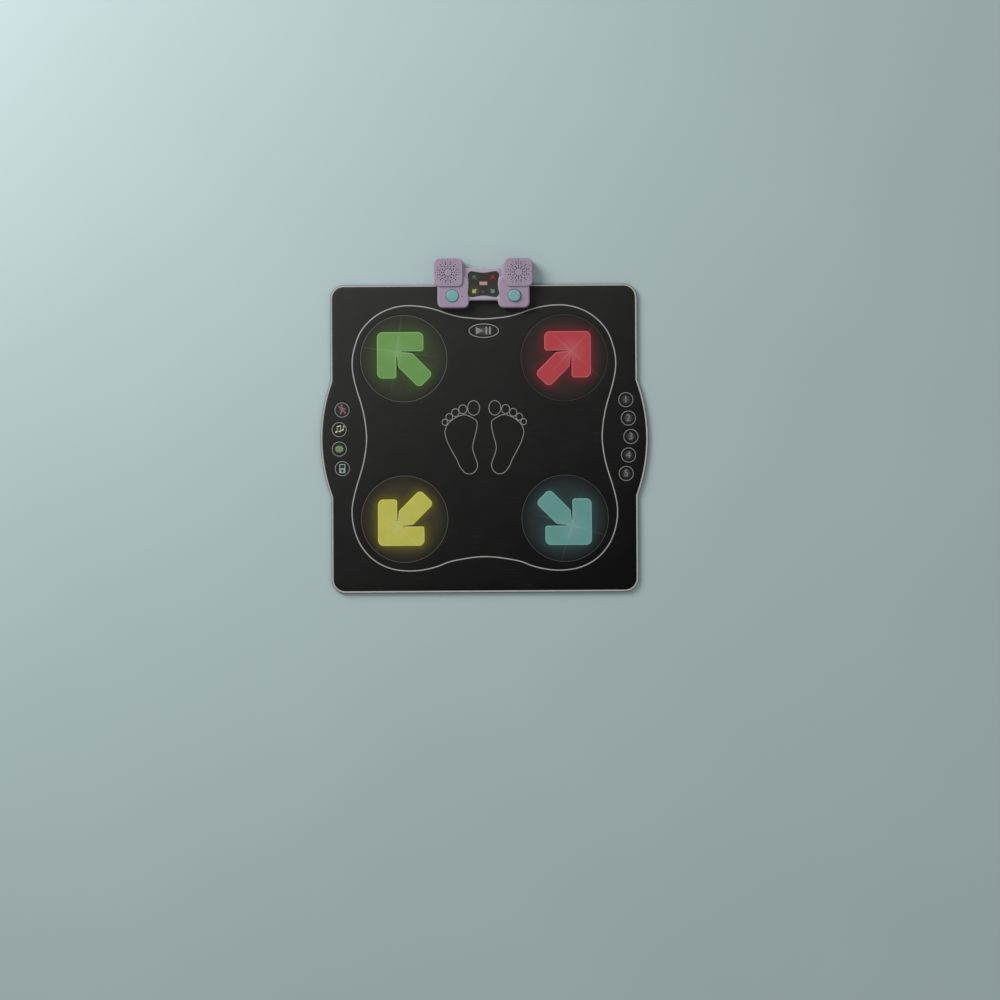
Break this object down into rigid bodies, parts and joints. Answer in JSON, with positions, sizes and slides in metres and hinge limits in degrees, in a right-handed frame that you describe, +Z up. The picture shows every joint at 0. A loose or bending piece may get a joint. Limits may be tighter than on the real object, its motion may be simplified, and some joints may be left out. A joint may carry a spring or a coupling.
{
  "type": "electronic dance mat",
  "caption": "Soft padded dance mat with lit arrow spots and round touch pads, and a lilac control unit with speakers, display and dial on its rear edge.",
  "frame": {"origin": "on the floor under the middle of the whole object's bounding box", "axes": "+X to the dancer's right, +Y from the front edge towards the control unit at the rear, +Z up"},
  "size_m": [0.9, 0.916, 0.039],
  "materials": {
    "base_sheet": "matt non-slip sheet",
    "contact_film": "flexible film with printed circuit",
    "foam_pad": "soft closed-cell foam",
    "top_sheet": "printed coated cloth",
    "edge_binding": "woven piping",
    "clamp_plate": "moulded, matt",
    "spot_panel_red": "printed coated cloth",
    "arrow_window_red": "translucent tinted film, satin",
    "light_board_red": "circuit board with lamps",
    "spot_panel_green": "printed coated cloth",
    "arrow_window_green": "translucent tinted film, satin",
    "light_board_green": "circuit board with lamps",
    "spot_panel_yellow": "printed coated cloth",
    "arrow_window_yellow": "translucent tinted film, satin",
    "light_board_yellow": "circuit board with lamps",
    "spot_panel_teal": "printed coated cloth",
    "arrow_window_teal": "translucent tinted film, satin",
    "light_board_teal": "circuit board with lamps",
    "mode_pad_1": "printed coated cloth",
    "mode_pad_2": "printed coated cloth",
    "mode_pad_3": "printed coated cloth",
    "mode_pad_4": "printed coated cloth",
    "level_pad_1": "printed coated cloth",
    "level_pad_2": "printed coated cloth",
    "level_pad_3": "printed coated cloth",
    "level_pad_4": "printed coated cloth",
    "level_pad_5": "printed coated cloth",
    "start_pad": "printed coated cloth",
    "lower_casing": "moulded, satin",
    "upper_casing": "moulded, satin",
    "front_screw_left": "zinc plated",
    "front_screw_right": "zinc plated",
    "rear_screw_left": "zinc plated",
    "rear_screw_right": "zinc plated",
    "rear_foot_left": "matt",
    "speaker_left": "paper cone in a dark frame",
    "speaker_cover_left": "moulded, satin",
    "rear_foot_right": "matt",
    "speaker_right": "paper cone in a dark frame",
    "speaker_cover_right": "moulded, satin",
    "power_button": "moulded, satin",
    "volume_dial": "moulded, satin",
    "power_light": "clear tinted light pipe",
    "main_board": "circuit board with soldered parts",
    "aux_jack": "moulded",
    "display_window": "polished black",
    "indicator_lens_red": "tinted clear plastic",
    "indicator_lens_green": "tinted clear plastic",
    "indicator_lens_yellow": "tinted clear plastic",
    "indicator_lens_teal": "tinted clear plastic",
    "display_light": "tinted clear plastic",
    "connect_button": "moulded, satin",
    "battery_cell_1": "plain wrapped cell",
    "battery_cell_2": "plain wrapped cell",
    "battery_cell_3": "plain wrapped cell",
    "battery_cell_4": "plain wrapped cell",
    "battery_contact_left": "nickel plated",
    "battery_contact_right": "nickel plated",
    "battery_door": "moulded, satin",
    "battery_door_screw": "zinc plated"
  },
  "bodies": {
    "mat_with_unit": {"base_sheet": "base_sheet", "contact_film": "contact_film", "foam_pad": "foam_pad", "top_sheet": "top_sheet", "edge_binding": "edge_binding", "clamp_plate": "clamp_plate", "light_board_red": "light_board_red", "light_board_green": "light_board_green", "light_board_yellow": "light_board_yellow", "light_board_teal": "light_board_teal", "lower_casing": "lower_casing", "upper_casing": "upper_casing", "front_screw_left": "front_screw_left", "front_screw_right": "front_screw_right", "rear_screw_left": "rear_screw_left", "rear_screw_right": "rear_screw_right", "rear_foot_left": "rear_foot_left", "speaker_left": "speaker_left", "speaker_cover_left": "speaker_cover_left", "rear_foot_right": "rear_foot_right", "speaker_right": "speaker_right", "speaker_cover_right": "speaker_cover_right", "power_light": "power_light", "main_board": "main_board", "aux_jack": "aux_jack", "display_window": "display_window", "indicator_lens_red": "indicator_lens_red", "indicator_lens_green": "indicator_lens_green", "indicator_lens_yellow": "indicator_lens_yellow", "indicator_lens_teal": "indicator_lens_teal", "display_light": "display_light", "battery_cell_1": "battery_cell_1", "battery_cell_2": "battery_cell_2", "battery_cell_3": "battery_cell_3", "battery_cell_4": "battery_cell_4", "battery_contact_left": "battery_contact_left", "battery_contact_right": "battery_contact_right"},
    "spot_red": {"spot_panel_red": "spot_panel_red", "arrow_window_red": "arrow_window_red"},
    "spot_green": {"spot_panel_green": "spot_panel_green", "arrow_window_green": "arrow_window_green"},
    "spot_yellow": {"spot_panel_yellow": "spot_panel_yellow", "arrow_window_yellow": "arrow_window_yellow"},
    "spot_teal": {"spot_panel_teal": "spot_panel_teal", "arrow_window_teal": "arrow_window_teal"},
    "mode_pad_1": {"mode_pad_1": "mode_pad_1"},
    "mode_pad_2": {"mode_pad_2": "mode_pad_2"},
    "mode_pad_3": {"mode_pad_3": "mode_pad_3"},
    "mode_pad_4": {"mode_pad_4": "mode_pad_4"},
    "level_pad_1": {"level_pad_1": "level_pad_1"},
    "level_pad_2": {"level_pad_2": "level_pad_2"},
    "level_pad_3": {"level_pad_3": "level_pad_3"},
    "level_pad_4": {"level_pad_4": "level_pad_4"},
    "level_pad_5": {"level_pad_5": "level_pad_5"},
    "start_pad": {"start_pad": "start_pad"},
    "power_button": {"power_button": "power_button"},
    "connect_button": {"connect_button": "connect_button"},
    "volume_dial": {"volume_dial": "volume_dial"},
    "battery_door": {"battery_door": "battery_door", "battery_door_screw": "battery_door_screw"}
  },
  "joints": [
    {"name": "press_spot_red", "type": "slide", "parent": "mat_with_unit", "child": "spot_red", "axis": [0, 0, -1], "range_m": [0, 0.002], "stiffness_N_per_m": 4000, "springref_m": -0.001},
    {"name": "press_spot_green", "type": "slide", "parent": "mat_with_unit", "child": "spot_green", "axis": [0, 0, -1], "range_m": [0, 0.002], "stiffness_N_per_m": 4000, "springref_m": -0.001},
    {"name": "press_spot_yellow", "type": "slide", "parent": "mat_with_unit", "child": "spot_yellow", "axis": [0, 0, -1], "range_m": [0, 0.002], "stiffness_N_per_m": 4000, "springref_m": -0.001},
    {"name": "press_spot_teal", "type": "slide", "parent": "mat_with_unit", "child": "spot_teal", "axis": [0, 0, -1], "range_m": [0, 0.002], "stiffness_N_per_m": 4000, "springref_m": -0.001},
    {"name": "press_mode_pad_1", "type": "slide", "parent": "mat_with_unit", "child": "mode_pad_1", "axis": [0, 0, -1], "range_m": [0, 0.001], "stiffness_N_per_m": 600, "springref_m": -0.0005},
    {"name": "press_mode_pad_2", "type": "slide", "parent": "mat_with_unit", "child": "mode_pad_2", "axis": [0, 0, -1], "range_m": [0, 0.001], "stiffness_N_per_m": 600, "springref_m": -0.0005},
    {"name": "press_mode_pad_3", "type": "slide", "parent": "mat_with_unit", "child": "mode_pad_3", "axis": [0, 0, -1], "range_m": [0, 0.001], "stiffness_N_per_m": 600, "springref_m": -0.0005},
    {"name": "press_mode_pad_4", "type": "slide", "parent": "mat_with_unit", "child": "mode_pad_4", "axis": [0, 0, -1], "range_m": [0, 0.001], "stiffness_N_per_m": 600, "springref_m": -0.0005},
    {"name": "press_level_pad_1", "type": "slide", "parent": "mat_with_unit", "child": "level_pad_1", "axis": [0, 0, -1], "range_m": [0, 0.001], "stiffness_N_per_m": 600, "springref_m": -0.0005},
    {"name": "press_level_pad_2", "type": "slide", "parent": "mat_with_unit", "child": "level_pad_2", "axis": [0, 0, -1], "range_m": [0, 0.001], "stiffness_N_per_m": 600, "springref_m": -0.0005},
    {"name": "press_level_pad_3", "type": "slide", "parent": "mat_with_unit", "child": "level_pad_3", "axis": [0, 0, -1], "range_m": [0, 0.001], "stiffness_N_per_m": 600, "springref_m": -0.0005},
    {"name": "press_level_pad_4", "type": "slide", "parent": "mat_with_unit", "child": "level_pad_4", "axis": [0, 0, -1], "range_m": [0, 0.001], "stiffness_N_per_m": 600, "springref_m": -0.0005},
    {"name": "press_level_pad_5", "type": "slide", "parent": "mat_with_unit", "child": "level_pad_5", "axis": [0, 0, -1], "range_m": [0, 0.001], "stiffness_N_per_m": 600, "springref_m": -0.0005},
    {"name": "press_start_pad", "type": "slide", "parent": "mat_with_unit", "child": "start_pad", "axis": [0, 0, -1], "range_m": [0, 0.001], "stiffness_N_per_m": 600, "springref_m": -0.0005},
    {"name": "press_power_button", "type": "slide", "parent": "mat_with_unit", "child": "power_button", "axis": [0, 0, -1], "range_m": [0, 0.002], "stiffness_N_per_m": 500, "springref_m": -0.001},
    {"name": "press_connect_button", "type": "slide", "parent": "mat_with_unit", "child": "connect_button", "axis": [0, 0, -1], "range_m": [0, 0.001], "stiffness_N_per_m": 500, "springref_m": -0.0005},
    {"name": "turn_volume_dial", "type": "hinge", "parent": "mat_with_unit", "child": "volume_dial", "pos_m": [0.085, 0.3546, 0.03], "axis": [0, 0, 1], "range_deg": [-150, 150]},
    {"name": "open_battery_door", "type": "hinge", "parent": "mat_with_unit", "child": "battery_door", "pos_m": [-0.05265, 0.41215, 0.002], "axis": [0, 1, 0], "range_deg": [0, 75]}
  ]
}
